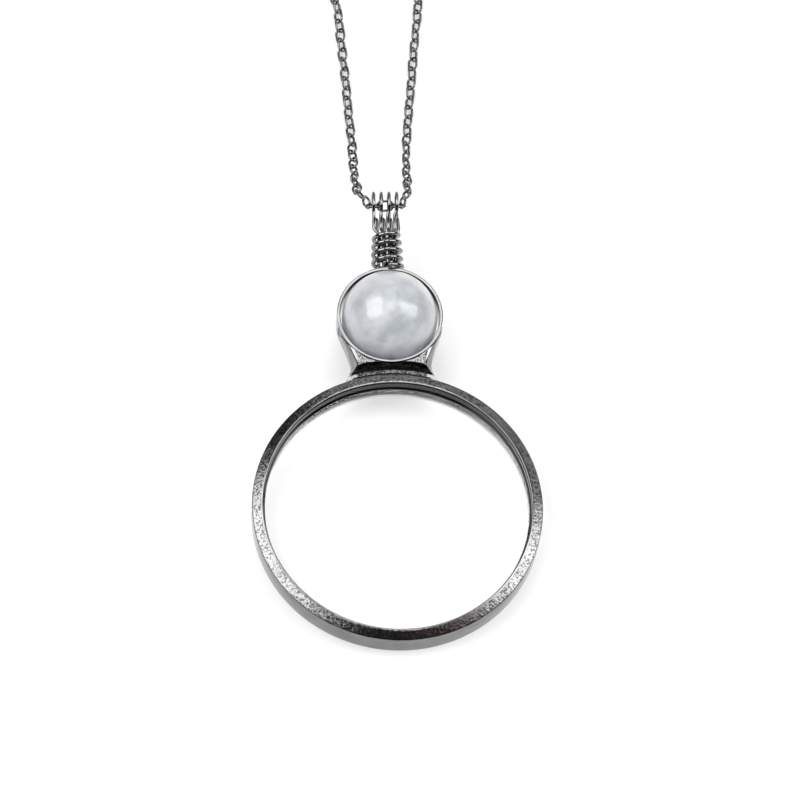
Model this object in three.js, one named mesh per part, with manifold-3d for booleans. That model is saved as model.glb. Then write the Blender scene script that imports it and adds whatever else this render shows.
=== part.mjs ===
// A magnifying-lens pendant on a cable-chain necklace, lying on a table.
//
// Millimetres, +Z up. The pendant is drawn flat in its own frame: x to the right, y from the lens
// towards the bail, z out of the front, with the lens axis at x = y = 0 and the rear face of the
// bezel at z = 0. It is then laid on the table, where it rests on the back of the stone ball and on
// the rear edge of the bezel, and slid so that its box stands centred over the origin.
import * as THREE from 'three';
import { mergeVertices } from 'three/addons/utils/BufferGeometryUtils.js';
import Module from 'manifold-3d';

const wasm = await Module();
wasm.setup();

// ---- driving dimensions --------------------------------------------------------------------
const joinGap = 0.05; // left between two pieces that are soldered or seated together

const bezelRadius = 25; // outside of the lens ring
const bezelDepth = 5.3; // rear face to the crest of the front face
const bezelInner = 23.2; // crest of the front face, where the inner bevel starts
const frontSlope = 0.7; // how far the front face falls from its crest to its outer edge
const rearChamfer = 0.3;
const boreRadius = 23.3; // rear bore that the lens is dropped into
const lipRadius = 22.75; // inside of the lip that the lens rests against
const lipRear = 3.05;
const lipThickness = 0.3;
const bevelWidth = 0.2; // the bright bevel round the inside of the front face
const edgeRound = 0.15;
const groove = { low: 0.45, high: 1.3, radius: 23.75 }; // for the snap ring

const lensRadius = 23.2;
const lensEdge = 1.55;
const lensCurve = 150; // radius of both polished faces
const snapRing = { inner: 22.75, outer: 23.65, low: 0.52, high: 1.22, halfGap: 0.09 };

const ballRadius = 8.15;
const ballY = 37;
const ballZ = 2.5;
const bandOuter = 9.3;
const bandInner = 8.72;
const bandFront = 4;
const bandRear = -0.5;
const pegRadius = 0.6;
const pegDepth = 2.2;

const waistY = 27.7;
const waistHalf = 7; // half the width of the neck at its waist
const hornTip = [9.1, 34.4]; // where each side runs out along the band
const footTip = [9.2, 24.5]; // where each side runs out along the bezel
const saddleFront = 4;
const saddleRear = -1;
const neckBevel = 0.9; // the sides lean in by this much towards the front
const neckBevelDepth = 1.2;
const tabEdge = 23.6; // the tab's lower edge, before its bevel
const tabArch = 1.3; // how far that edge arches up in the middle
const valley = { around: 26.2, radius: 1.75, z: 4.3 }; // a groove that runs along the bezel

const postRadius = 0.75;
const postTop = 53.2;
const legFoot = 47; // where the bail wires start, beside the post
const bailWire = 0.6;
const legOval = [1.42, 1.16]; // the bail wires stand round the post on this oval, x and z
const legSpacing = 0.62; // above the coil the eight legs lie side by side
const packedZ = 0.45; // and the front ones stand this far before the middle, the back ones behind it
const coilWire = 0.8;
const coilBottom = 46.7;
const coilTurns = 4.45;
const coilPitch = 1.58;
const coilDroop = 0.3; // each turn hangs a little lower in front than behind
const bailY = 59.3; // axis of the bail's loops
const bailZ = 2.5;
const loopRadius = 2.29;
const loopSpacing = 1.37;

const chainDiameter = 2.2; // outside of the cable chain
const linkWire = 0.48;
const linkPitch = 2.15;
const linkSlack = 0.12; // play between one link and the next
const linkBend = (chainDiameter - linkWire) / 2; // middle of the wire round each end
const linkStraight = linkPitch + 2 * linkWire + linkSlack - chainDiameter;
const coilCentre = [0, 118.5];
const chainCoilInner = 4.8;
const chainCoilOuter = 18.7;
const chainCoilHeight = 4.5;

// ---- finishes --------------------------------------------------------------------------------
function metal(color, roughness) {
  return new THREE.MeshStandardMaterial({ color, roughness, metalness: 1 });
}
const gunmetal = metal(0x4a4b4f, 0.2);
const darkWire = metal(0x3c3d41, 0.25);
const chainMetal = metal(0x56575b, 0.22);
const claspMetal = metal(0x505156, 0.24);
const springSteel = metal(0x9a9a98, 0.3);
const clearGlass = new THREE.MeshStandardMaterial({
  color: 0xf4f7f7, roughness: 0.02, metalness: 0, transparent: true, opacity: 0.25,
});
const milkyStone = new THREE.MeshStandardMaterial({ color: 0xc9ccd1, roughness: 0.08, metalness: 0 });

// ---- helpers ---------------------------------------------------------------------------------
function named(name, geometry, material) {
  const mesh = new THREE.Mesh(geometry, material);
  mesh.name = name;
  return mesh;
}

// A closed geometry as a solid that can be cut and joined.
function solidOf(geometry) {
  const bare = geometry.clone();
  bare.deleteAttribute('normal');
  bare.deleteAttribute('uv');
  const merged = mergeVertices(bare, 1e-4);
  const vertProperties = new Float32Array(merged.attributes.position.array);
  const triVerts = new Uint32Array(merged.index.array);
  return new wasm.Manifold(new wasm.Mesh({ numProp: 3, vertProperties, triVerts }));
}

function geometryOf(solid) {
  const { vertProperties, triVerts } = solid.getMesh();
  const geometry = new THREE.BufferGeometry();
  geometry.setAttribute('position', new THREE.BufferAttribute(new Float32Array(vertProperties), 3));
  geometry.setIndex(new THREE.BufferAttribute(new Uint32Array(triVerts), 1));
  return geometry;
}

function cut(body, ...tools) {
  return geometryOf(tools.reduce((rest, tool) => rest.subtract(solidOf(tool)), solidOf(body)));
}

// Points [radius, height] turned about the z axis.
function turned(points, segments) {
  const profile = points.map(([r, z]) => new THREE.Vector2(r, z));
  return new THREE.LatheGeometry(profile, segments).rotateX(Math.PI / 2);
}

// The same, closed on itself: a ring of the section that the points go round.
function ring(points, segments) {
  return turned([...points, points[0]], segments);
}

// A disc from one height to another, centred on (x, y).
function disc(radius, low, high, x = 0, y = 0, segments = 48) {
  const geometry = new THREE.CylinderGeometry(radius, radius, high - low, segments);
  return geometry.rotateX(Math.PI / 2).translate(x, y, (low + high) / 2);
}

// A round section carried along a curve.
function tube(curve, diameter, steps, sides = 8) {
  const section = new THREE.Shape();
  section.absarc(0, 0, diameter / 2, 0, 2 * Math.PI);
  const options = { steps, bevelEnabled: false, extrudePath: curve, curveSegments: sides / 2 };
  return new THREE.ExtrudeGeometry(section, options);
}

// A flat shape made solid from one height to another.
function slab(shape, low, high, segments = 12) {
  const options = { depth: high - low, bevelEnabled: false, curveSegments: segments };
  return new THREE.ExtrudeGeometry(shape, options).translate(0, 0, low);
}

function smooth(points) {
  return new THREE.CatmullRomCurve3(points.map((p) => new THREE.Vector3(...p)), false, 'centripetal');
}

// A ring of round wire, drawn out along x by the given straight length.
function wireLink(radius, diameter, straight, around = 16, sides = 6) {
  const geometry = new THREE.TorusGeometry(radius, diameter / 2, sides, around);
  const place = geometry.attributes.position;
  for (let i = 0; i < place.count; i += 1) {
    place.setX(i, place.getX(i) + (Math.sign(Math.round(place.getX(i) * 1e4)) * straight) / 2);
  }
  return geometry;
}

// ---- the lens and its ring ---------------------------------------------------------------------
function lensBezel() {
  const lipFront = lipRear + lipThickness;
  const wall = bezelInner - bevelWidth;
  const middle = (bezelInner + bezelRadius) / 2;
  return ring([
    [boreRadius, 0],
    [bezelRadius - rearChamfer, 0],
    [bezelRadius, rearChamfer],
    [bezelRadius, bezelDepth - frontSlope - edgeRound],
    [bezelRadius - edgeRound, bezelDepth - frontSlope],
    [middle, bezelDepth - 0.4 * frontSlope],
    [bezelInner, bezelDepth],
    [wall, bezelDepth - bevelWidth],
    [wall, lipFront + edgeRound],
    [lipRadius, lipFront],
    [lipRadius, lipRear],
    [boreRadius, lipRear],
    [boreRadius, groove.high],
    [groove.radius, groove.high],
    [groove.radius, groove.low],
    [boreRadius, groove.low],
  ], 72);
}

// Both faces are shallow arcs of one radius, so the lens is thickest on its axis.
function magnifierLens() {
  const front = lipRear - 0.16; // its curve then clears the lip
  const rear = front - lensEdge;
  const rings = 4;
  const rise = (r) => Math.sqrt(lensCurve ** 2 - r ** 2) - Math.sqrt(lensCurve ** 2 - lensRadius ** 2);
  const points = [[0, rear - rise(0)]];
  for (let i = 1; i <= rings; i += 1) {
    const r = (lensRadius * i) / rings;
    points.push([r, rear - rise(r)]);
  }
  for (let i = rings; i >= 1; i -= 1) {
    const r = (lensRadius * i) / rings;
    points.push([r, front + rise(r)]);
  }
  points.push([0, front + rise(0)]);
  return turned(points, 60);
}

// A split ring of square wire, sprung into the groove behind the lens.
function lensSnapRing() {
  const { inner, outer, low, high, halfGap } = snapRing;
  const shape = new THREE.Shape();
  const start = -Math.PI / 2 + halfGap;
  const end = (3 * Math.PI) / 2 - halfGap;
  shape.absarc(0, 0, outer, start, end, false);
  shape.absarc(0, 0, inner, end, start, true);
  return slab(shape, low, high, 36);
}

// ---- the neck, the ball and its band --------------------------------------------------------------
// The cast neck: hollow sides that run out along the bezel below and along the band above, a valley
// across the front that follows the bezel, and a tab that passes behind it.
function neckSaddle() {
  const outline = new THREE.Shape();
  const [hornX, hornY] = [hornTip[0] - neckBevel, hornTip[1]];
  const [footX, footY] = [footTip[0] - neckBevel, footTip[1]];
  const waistX = waistHalf - neckBevel;
  outline.moveTo(-footX, tabEdge);
  outline.quadraticCurveTo(0, tabEdge + tabArch, footX, tabEdge);
  outline.lineTo(footX, footY);
  outline.quadraticCurveTo(waistX, footY + 0.9, waistX, waistY);
  outline.quadraticCurveTo(waistX + 0.3, waistY + 2.6, hornX, hornY);
  outline.lineTo(-hornX, hornY);
  outline.quadraticCurveTo(-waistX - 0.3, waistY + 2.6, -waistX, waistY);
  outline.quadraticCurveTo(-waistX, footY + 0.9, -footX, footY);
  const block = new THREE.ExtrudeGeometry(outline, {
    depth: saddleFront - saddleRear - 2 * neckBevelDepth,
    bevelEnabled: true,
    bevelThickness: neckBevelDepth,
    bevelSize: neckBevel,
    bevelSegments: 3,
    curveSegments: 8,
  }).translate(0, 0, saddleRear + neckBevelDepth);
  const bandSeat = disc(bandOuter + joinGap, saddleRear - 2, saddleFront + 2, 0, ballY, 72);
  const bezelSeat = disc(bezelRadius + joinGap, -joinGap, saddleFront + 3, 0, 0, 144);
  const hollow = new THREE.TorusGeometry(valley.around, valley.radius, 16, 120).translate(0, 0, valley.z);
  return cut(block, bandSeat, bezelSeat, hollow);
}

function ballBand() {
  return ring([
    [bandInner, bandRear + edgeRound],
    [bandInner + edgeRound, bandRear],
    [bandOuter - edgeRound, bandRear],
    [bandOuter, bandRear + edgeRound],
    [bandOuter, bandFront - edgeRound],
    [bandOuter - edgeRound, bandFront],
    [bandInner + edgeRound, bandFront],
    [bandInner, bandFront - edgeRound],
  ], 60).translate(0, ballY, 0);
}

// The ball is drilled a little way in at top and bottom, for the pegs that hold it in the band.
function stoneBall() {
  const ball = new THREE.SphereGeometry(ballRadius, 28, 16).translate(0, ballY, ballZ);
  const bore = pegRadius + joinGap;
  const hole = (sign) => new THREE.CylinderGeometry(bore, bore, 2 * pegDepth, 16)
    .translate(0, ballY + sign * ballRadius, ballZ);
  return cut(ball, hole(1), hole(-1));
}

function ballPeg(sign) {
  const inner = ballRadius - pegDepth + joinGap;
  const outer = bandInner - joinGap - 0.03;
  return new THREE.CylinderGeometry(pegRadius, pegRadius, outer - inner, 16)
    .translate(0, ballY + (sign * (inner + outer)) / 2, ballZ);
}

// ---- the wrapped bail ---------------------------------------------------------------------------
// A trumpet-shaped foot on the band with a post that the bail wires are bound to.
function neckPost() {
  const flare = [[0, 44], [4.1, 44], [4.05, 45.4], [3.4, 45.9], [2.6, 46.2], [2, 46.35], [1.5, 46.45]];
  const stem = [[postRadius, 46.7], [postRadius, postTop - 0.4], [0, postTop]];
  const profile = [...flare, ...stem].map(([r, y]) => new THREE.Vector2(r, y));
  const post = new THREE.LatheGeometry(profile, 28).translate(0, 0, bailZ);
  const bandSeat = disc(bandOuter + joinGap, -9, 14, 0, ballY, 72);
  const before = new THREE.BoxGeometry(20, 20, 10).translate(0, ballY + bandOuter, bandFront + 4.7);
  const behind = new THREE.BoxGeometry(20, 20, 10).translate(0, ballY + bandOuter, bandRear - 5);
  return cut(post, bandSeat, before, behind);
}

// One wire of the bail: up the front of the post, round the loop and down the back. In the coil the
// wires stand round an oval; above it the front and back legs lie side by side in turn.
function bailLoop(index) {
  const angle = ((150 - 40 * index) * Math.PI) / 180;
  const ovalX = legOval[0] * Math.cos(angle);
  const ovalZ = legOval[1] * Math.sin(angle);
  const frontX = (2 * index - 3.5) * legSpacing;
  const backX = frontX + legSpacing;
  const loopX = (index - 1.5) * loopSpacing;
  const leg = [[ovalX, legFoot, ovalZ], [ovalX, 50.4, ovalZ], [ovalX, 53.85, ovalZ]];
  const front = [...leg, [frontX, 55, packedZ], [frontX, 56.4, packedZ]];
  const legBehind = leg.map(([x, y, z]) => [x, y, -z]).reverse();
  const back = [[backX, 56.4, -packedZ], [backX, 55, -packedZ], ...legBehind];
  const loop = [];
  for (let degrees = -50; degrees <= 230; degrees += 28) {
    const turn = (degrees * Math.PI) / 180;
    const aside = ((degrees - 90) / 140) * 0.15;
    loop.push([loopX + aside, bailY + loopRadius * Math.sin(turn), loopRadius * Math.cos(turn)]);
  }
  return tube(smooth([...front, ...loop, ...back]), bailWire, 30).translate(0, 0, bailZ);
}

// The binding wire: an oval helix, wider and less even towards its foot.
class BindingPath extends THREE.Curve {
  getPoint(t, target = new THREE.Vector3()) {
    const turn = 2 * Math.PI * coilTurns * t;
    const wide = 2.6 - 0.4 * t + 0.05 * Math.sin(2.3 * turn);
    const deep = 2.3 - 0.3 * t;
    const y = coilBottom + coilPitch * coilTurns * t - coilDroop * Math.cos(turn);
    return target.set(wide * Math.sin(turn), y, bailZ + deep * Math.cos(turn));
  }
}

// ---- the chain, its clasp and end ring -------------------------------------------------------------
// A link of the stretch inside the bail: its long way is along the chain, its flat way across.
function cableLink(name, middle, along, across) {
  const link = named(name, wireLink(linkBend, linkWire, linkStraight), chainMetal);
  const normal = along.clone().cross(across).normalize();
  const side = normal.clone().cross(along);
  link.quaternion.setFromRotationMatrix(new THREE.Matrix4().makeBasis(along, side, normal));
  link.position.copy(middle);
  return link;
}

const leftStrand = [
  [-4.0, 43.7, 8.45], [-4.5, 45.6, 7.45], [-4.8, 47.5, 6.5], [-4.9, 50.2, 5.2], [-4.9, 53.2, 3.9],
  [-4.9, 56.6, 2.7], [-4.9, 60.4, 1.75], [-5.1, 64.5, 1.3], [-5.3, 69.0, 1.2], [-5.5, 74.0, 1.2],
  [-5.8, 79.0, 1.2], [-6.1, 84.0, 1.2], [-6.3, 88.5, 1.2], [-6.8, 92.4, 1.2], [-8.3, 95.9, 1.2],
  [-11.0, 98.9, 1.2], [-13.9, 102.0, 1.2], [-16.1, 105.4, 1.2], [-17.1, 107.9, 1.2],
];
const rightStrand = [
  [4.0, 43.7, 8.45], [4.3, 45.6, 7.45], [4.5, 47.5, 6.5], [4.5, 50.2, 5.2], [4.6, 53.2, 3.9],
  [4.8, 56.6, 2.7], [5.1, 60.4, 1.75], [5.5, 64.5, 1.3], [6.0, 69.0, 1.2], [6.6, 74.0, 1.2],
  [7.1, 79.0, 1.2], [7.7, 84.0, 1.2], [8.3, 88.8, 1.2], [8.6, 92.6, 1.2], [7.9, 95.4, 1.2],
  [5.6, 97.2, 1.2], [2.2, 97.9, 1.2], [-1.6, 98.1, 1.2], [-5.4, 98.9, 1.2], [-9.0, 100.5, 1.2],
];
const claspTail = [
  [-19.8, 124.4, 2.9], [-20.3, 128.0, 2.2], [-19.3, 132.4, 1.5], [-17.1, 136.6, 1.2],
  [-14.3, 140.5, 1.2], [-10.7, 143.5, 1.2],
];
const ringTail = [
  [-17.4, 128.4, 2.9], [-16.2, 131.4, 2.0], [-13.9, 134.2, 1.4], [-10.9, 136.4, 1.2],
  [-8.9, 137.3, 1.2],
];

function chainTube(points, steps) {
  return tube(smooth(points), chainDiameter, steps);
}

function chainCoil() {
  const edge = 0.8;
  return ring([
    [chainCoilInner + edge, 0],
    [chainCoilOuter - edge, 0],
    [chainCoilOuter, edge],
    [chainCoilOuter, chainCoilHeight - edge],
    [chainCoilOuter - edge, chainCoilHeight],
    [chainCoilInner + edge, chainCoilHeight],
    [chainCoilInner, chainCoilHeight - edge],
    [chainCoilInner, edge],
  ], 40).translate(...coilCentre, 0);
}

// The clasp is drawn with its eye at the origin and its claw along x, flat on the table.
const claspThickness = 2.4;
const claspPivot = [3.1, 0.75];
const slotLow = 0.65;
const slotHigh = 1.75;
const claspEye = 1.1;
const eyeThickness = 0.9;
const rivetRadius = 0.4;
const leverLow = 0.98; // the spring lies under the lever
const springWire = 0.22;

function claspBody() {
  const outline = new THREE.Shape();
  outline.moveTo(-0.1, 1.35);
  outline.bezierCurveTo(1.0, 1.4, 1.6, 2.3, 3.4, 2.5);
  outline.lineTo(7.6, 2.5);
  outline.bezierCurveTo(9.6, 2.4, 10.6, 1.3, 10.5, -0.1);
  outline.bezierCurveTo(10.4, -1.9, 8.6, -2.7, 6.8, -2.5);
  outline.bezierCurveTo(4.0, -2.4, 1.6, -1.6, -0.1, -1.35);
  outline.absarc(0, 0, 1.35, -Math.PI / 2, Math.PI / 2, true);
  const bevel = 0.35;
  const block = new THREE.ExtrudeGeometry(outline, {
    depth: claspThickness - 2 * bevel, bevelEnabled: true, bevelThickness: bevel, bevelSize: bevel,
    bevelSegments: 2, curveSegments: 8,
  }).translate(0, 0, bevel);
  const eye = disc(claspEye, -1, 4, 0, 0, 24);
  const above = new THREE.BoxGeometry(4, 6, 2).translate(-0.4, 0, claspThickness / 2 + eyeThickness / 2 + 1);
  const below = new THREE.BoxGeometry(4, 6, 2).translate(-0.4, 0, claspThickness / 2 - eyeThickness / 2 - 1);
  const hollow = new THREE.Shape();
  hollow.absellipse(7.1, 0.15, 2.35, 1.5, 0, 2 * Math.PI);
  const gate = new THREE.Shape();
  gate.moveTo(4.6, 0.2);
  gate.lineTo(8.7, 0.2);
  gate.lineTo(8.9, 1.8);
  gate.lineTo(8.3, 4);
  gate.lineTo(4.6, 4);
  const slot = new THREE.Shape();
  slot.moveTo(1.6, 0.9);
  slot.lineTo(2.2, -0.3);
  slot.lineTo(5.4, -0.3);
  slot.lineTo(5.4, 4);
  slot.lineTo(0.6, 4);
  const bore = disc(rivetRadius + 0.07, -1, 4, ...claspPivot, 20);
  const openings = [slab(hollow, -1, 4), slab(gate, -1, 4), slab(slot, slotLow, slotHigh)];
  return cut(block, eye, above, below, ...openings, bore);
}

// The lever closes the gate: a thumb tab, a round boss on the rivet and an arm to the claw's tip.
function claspLever() {
  const [x, y] = claspPivot;
  const shape = new THREE.Shape();
  shape.moveTo(x - 0.75, y - 0.25);
  shape.absarc(x, y, 0.8, Math.PI + 0.35, (5 * Math.PI) / 3, false);
  shape.lineTo(5.2, 0.75);
  shape.quadraticCurveTo(7.0, 0.85, 8.25, 1.1);
  shape.lineTo(8.05, 2.2);
  shape.quadraticCurveTo(6.4, 2.35, 4.6, 2.2);
  shape.quadraticCurveTo(3.6, 2.3, 3.1, 3.2);
  shape.quadraticCurveTo(2.5, 3.75, 2.0, 3.3);
  shape.quadraticCurveTo(1.9, 2.5, 2.3, 1.3);
  const bore = disc(rivetRadius + 0.06, -1, 4, x, y, 20);
  return cut(slab(shape, leverLow, slotHigh - 0.07, 6), bore);
}

function claspRivet() {
  return disc(rivetRadius, joinGap, claspThickness - joinGap, ...claspPivot, 16);
}

// A turn of fine spring wire round the rivet, under the lever, with one leg along the slot.
function claspSpring() {
  const [x, y] = claspPivot;
  const radius = rivetRadius + springWire;
  const level = slotLow + springWire / 2 + joinGap;
  const points = [];
  for (let degrees = 40; degrees <= 340; degrees += 30) {
    const turn = (degrees * Math.PI) / 180;
    points.push([x + radius * Math.cos(turn), y + radius * Math.sin(turn), level]);
  }
  points.push([x + 1.5, y - 0.35, level]);
  return tube(smooth(points), springWire, 16, 6);
}

// ---- assembly ----------------------------------------------------------------------------------------
function buildPendant() {
  const pendant = new THREE.Group();
  pendant.add(named('lens_bezel', lensBezel(), gunmetal));
  pendant.add(named('magnifier_lens', magnifierLens(), clearGlass));
  pendant.add(named('lens_snap_ring', lensSnapRing(), springSteel));
  pendant.add(named('neck_saddle', neckSaddle(), gunmetal));
  pendant.add(named('ball_band', ballBand(), gunmetal));
  pendant.add(named('stone_ball', stoneBall(), milkyStone));
  pendant.add(named('ball_peg_top', ballPeg(1), darkWire));
  pendant.add(named('ball_peg_bottom', ballPeg(-1), darkWire));
  pendant.add(named('neck_post', neckPost(), gunmetal));
  for (let index = 0; index < 4; index += 1) {
    pendant.add(named(`bail_loop_${index + 1}`, bailLoop(index), darkWire));
  }
  const steps = Math.round(12 * coilTurns);
  pendant.add(named('binding_coil', tube(new BindingPath(), coilWire, steps), darkWire));
  return pendant;
}

// The pendant leans by the angle of the line that touches its bezel's rear edge and its ball's back.
function layOnTable(pendant) {
  const heel = bezelRadius - rearChamfer;
  const span = Math.hypot(heel + ballY, ballZ);
  const tilt = Math.asin(ballRadius / span) - Math.atan2(ballZ, heel + ballY);
  pendant.rotation.x = tilt;
  pendant.updateMatrixWorld(true);
  const box = new THREE.Box3().setFromObject(pendant, true);
  pendant.position.set(0, -(box.min.y + box.max.y) / 2, -box.min.z);
  pendant.updateMatrixWorld(true);
  return pendant;
}

function buildChain(pendant) {
  const chain = new THREE.Group();
  const bail = pendant.localToWorld(new THREE.Vector3(0, bailY, bailZ));
  const acrossDown = new THREE.Vector3(0, 1, -1);
  const acrossUp = new THREE.Vector3(0, 1, 1);
  for (let index = 0; index < 3; index += 1) {
    const middle = bail.clone().add(new THREE.Vector3((index - 1) * linkPitch, 0, 0));
    const across = index === 1 ? acrossUp : acrossDown;
    chain.add(cableLink(`bail_link_${index + 1}`, middle, new THREE.Vector3(1, 0, 0), across));
  }
  for (const [name, side] of [['turn_link_left', -1], ['turn_link_right', 1]]) {
    const corner = bail.clone().add(new THREE.Vector3(side * (linkPitch + linkStraight / 2), 0, 0));
    const way = new THREE.Vector3(side * 0.36, 0.8, -0.48).normalize();
    const hook = linkBend - linkWire - linkSlack; // where it pulls inside the end of its neighbour
    corner.addScaledVector(way, hook + linkStraight / 2 + linkBend);
    chain.add(cableLink(name, corner, way, acrossUp));
  }
  chain.add(named('chain_left', chainTube(leftStrand, 18), chainMetal));
  chain.add(named('chain_right', chainTube(rightStrand, 20), chainMetal));
  chain.add(named('chain_coil', chainCoil(), chainMetal));
  chain.add(named('chain_tail_clasp', chainTube(claspTail, 8), chainMetal));
  chain.add(named('chain_tail_ring', chainTube(ringTail, 7), chainMetal));
  return chain;
}

function buildClasp() {
  const clasp = new THREE.Group();
  clasp.add(named('clasp_body', claspBody(), claspMetal));
  clasp.add(named('clasp_lever', claspLever(), claspMetal));
  clasp.add(named('clasp_rivet', claspRivet(), claspMetal));
  clasp.add(named('clasp_spring', claspSpring(), springSteel));
  const jumpTilt = (55 * Math.PI) / 180;
  const jump = named('clasp_jump_ring', wireLink(1.75, 0.6, 0, 20, 8).rotateX(jumpTilt), chainMetal);
  jump.position.set(-1.62, 0.36, 1.75);
  clasp.add(jump);
  clasp.position.set(-6.3, 144.4, 0);
  return clasp;
}

function buildEndRing() {
  const endRing = named('end_ring', wireLink(2.1, 0.8, 0, 24, 8), chainMetal);
  endRing.position.set(-6.4, 139.2, 0.4);
  return endRing;
}

const group = new THREE.Group();
const pendant = layOnTable(buildPendant());
group.add(pendant, buildChain(pendant), buildClasp(), buildEndRing());
export default group;
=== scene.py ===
# %% [markdown]
# # A magnifying-lens pendant on a cable chain
#
# The pendant lies on a table. A round glass sits in a wide metal ring, a cast neck joins the ring to a
# thin band round a milky stone ball, and a wire-wrapped bail hangs the whole on a cable chain. All the
# metal is plated dark and polished, so most of what the eye reads is reflection: the shapes have to be
# smooth, and the lights have to be placed as carefully as the pieces.
#
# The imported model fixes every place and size. Most visible pieces are worked out here with numpy from
# a few sizes read off that model, and the castings are softened from its solids. Each piece rides on
# the same body as the part that it stands for.

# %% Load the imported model
import bpy
import mathutils
import numpy as np
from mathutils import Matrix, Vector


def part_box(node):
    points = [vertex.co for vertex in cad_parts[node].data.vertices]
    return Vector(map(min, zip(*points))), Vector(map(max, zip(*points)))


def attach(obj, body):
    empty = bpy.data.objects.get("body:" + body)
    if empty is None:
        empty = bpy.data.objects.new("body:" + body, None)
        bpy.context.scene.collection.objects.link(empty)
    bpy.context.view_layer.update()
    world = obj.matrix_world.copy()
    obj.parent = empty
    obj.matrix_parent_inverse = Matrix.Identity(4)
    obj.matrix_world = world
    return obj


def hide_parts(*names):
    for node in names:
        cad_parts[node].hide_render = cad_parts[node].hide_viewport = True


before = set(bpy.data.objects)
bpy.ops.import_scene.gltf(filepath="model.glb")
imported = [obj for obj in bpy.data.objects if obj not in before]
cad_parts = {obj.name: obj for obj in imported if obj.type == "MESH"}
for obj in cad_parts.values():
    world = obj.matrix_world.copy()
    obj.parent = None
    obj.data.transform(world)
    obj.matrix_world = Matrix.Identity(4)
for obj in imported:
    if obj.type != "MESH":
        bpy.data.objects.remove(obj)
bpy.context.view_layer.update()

# %% [markdown]
# ## Camera
#
# The viewpoint is high and near the lens end, a little to the left of the pendant's own axis, from
# three quarters of a metre away with a long lens. A camera could be aimed with a constraint, but an
# orientation worked out from where it stands, where it looks and how it is rolled is plainer, and
# nothing is left live in the file.

# %% Camera
MM = 0.001


def unit(vector):
    """A vector divided by its length, along the last axis."""
    vector = np.asarray(vector, float)
    return vector / np.linalg.norm(vector, axis=-1, keepdims=True)


def aimed_matrix(place, target, roll_degrees=0.0):
    """Columns right, up and back of something at place that looks at target, rolled about its view."""
    back = unit(np.subtract(place, target))
    right = unit(np.cross([0, 0, 1], back))
    up = np.cross(back, right)
    roll = np.radians(roll_degrees)
    turned = np.cos(roll) * right + np.sin(roll) * up
    matrix = np.eye(4)
    matrix[:3, 0] = turned
    matrix[:3, 1] = np.cross(back, turned)
    matrix[:3, 2] = back
    matrix[:3, 3] = place
    return matrix


LENS_LENGTH = 195.77
CAMERA_ROLL = 6.05
camera_data = bpy.data.cameras.new("camera")
camera_data.sensor_width = 36.0
camera_data.lens = LENS_LENGTH
camera_data.clip_start = 0.01
camera = bpy.data.objects.new("camera", camera_data)
bpy.context.scene.collection.objects.link(camera)
camera_place = np.array([-49.96, -383.85, 655.10]) * MM
camera_target = np.array([1.79, 6.66, 0.0]) * MM
camera.matrix_world = mathutils.Matrix(aimed_matrix(camera_place, camera_target, CAMERA_ROLL).tolist())
bpy.context.scene.camera = camera
print("camera stands", np.round(np.linalg.norm(camera_place - camera_target), 3), "m from its target")

# %% [markdown]
# ## Turning arrays into pieces
#
# Every shape below is a grid of points: rows along one parameter, columns along the other. One helper
# joins neighbouring grid points into quads, round the columns and, in a ring, round the rows too, and
# another caps open ends with a fan. Writing whole arrays into the mesh is far quicker than adding faces
# one by one, and the helpers are the only place that has to get the facing right.

# %% Mesh helpers
def grid_faces(rows, columns, wrap_rows=False):
    """Quads between neighbours of a grid, numbered row by row, whose columns always run round."""
    row = np.arange(rows if wrap_rows else rows - 1)[:, None]
    column = np.arange(columns)[None, :]
    here = row * columns + column
    right = row * columns + (column + 1) % columns
    below = ((row + 1) % rows) * columns + column
    across = ((row + 1) % rows) * columns + (column + 1) % columns
    return np.stack([here, right, across, below], axis=-1).reshape(-1, 4)


def new_piece(name, points, faces, body, material, pebble=None, oxide=None):
    """An object at the origin with these points (metres) and faces, riding on a body.

    pebble is how rough-cast the skin is at each point, and the last argument how dark its painted shade is,
    both from 0 to 1."""
    mesh = bpy.data.meshes.new(name)
    mesh.from_pydata(np.asarray(points).tolist(), [], [list(map(int, face)) for face in faces])
    mesh.update()
    mesh.polygons.foreach_set("use_smooth", np.ones(len(mesh.polygons), bool))
    mesh.materials.append(material)
    piece = bpy.data.objects.new(name, mesh)
    bpy.context.scene.collection.objects.link(piece)
    for label, values in (("pebble", pebble), ("oxide", oxide)):
        if values is not None:
            attribute_data = mesh.attributes.new(label, "FLOAT", "POINT").data
            attribute_data.foreach_set("value", np.ravel(values) * 1.0)
    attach(piece, body)
    print(f"{name}: {len(mesh.vertices)} points, {len(mesh.polygons)} faces")
    return piece


def facing_out(points, faces):
    """The faces turned so that the closed surface's signed volume is positive."""
    points = np.asarray(points)
    volume = 0.0
    for face_size in sorted({len(face) for face in faces}):
        same = np.array([face for face in faces if len(face) == face_size])
        for k in range(1, face_size - 1):
            corners = points[same[:, [0, k, k + 1]]]
            volume += np.einsum("ij,ij->", corners[:, 0], np.cross(corners[:, 1], corners[:, 2]))
    return [list(face)[::-1] for face in faces] if volume < 0 else [list(face) for face in faces]


def closed_tube(points):
    """Points and faces of a rows x columns x 3 grid whose columns run round, its two ends capped.

    Each cap is a fan from the mean of its end row."""
    rows, columns, _ = points.shape
    flat = points.reshape(-1, 3)
    centres = np.stack([points[0].mean(0), points[-1].mean(0)])
    faces = grid_faces(rows, columns).tolist()
    first, last = rows * columns, rows * columns + 1
    turn = np.arange(columns)
    following = (turn + 1) % columns
    faces += [[first, int(b), int(a)] for a, b in zip(turn, following)]
    tail = (rows - 1) * columns
    faces += [[last, int(tail + a), int(tail + b)] for a, b in zip(turn, following)]
    everything = np.vstack([flat, centres])
    return everything, facing_out(everything, faces)


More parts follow.
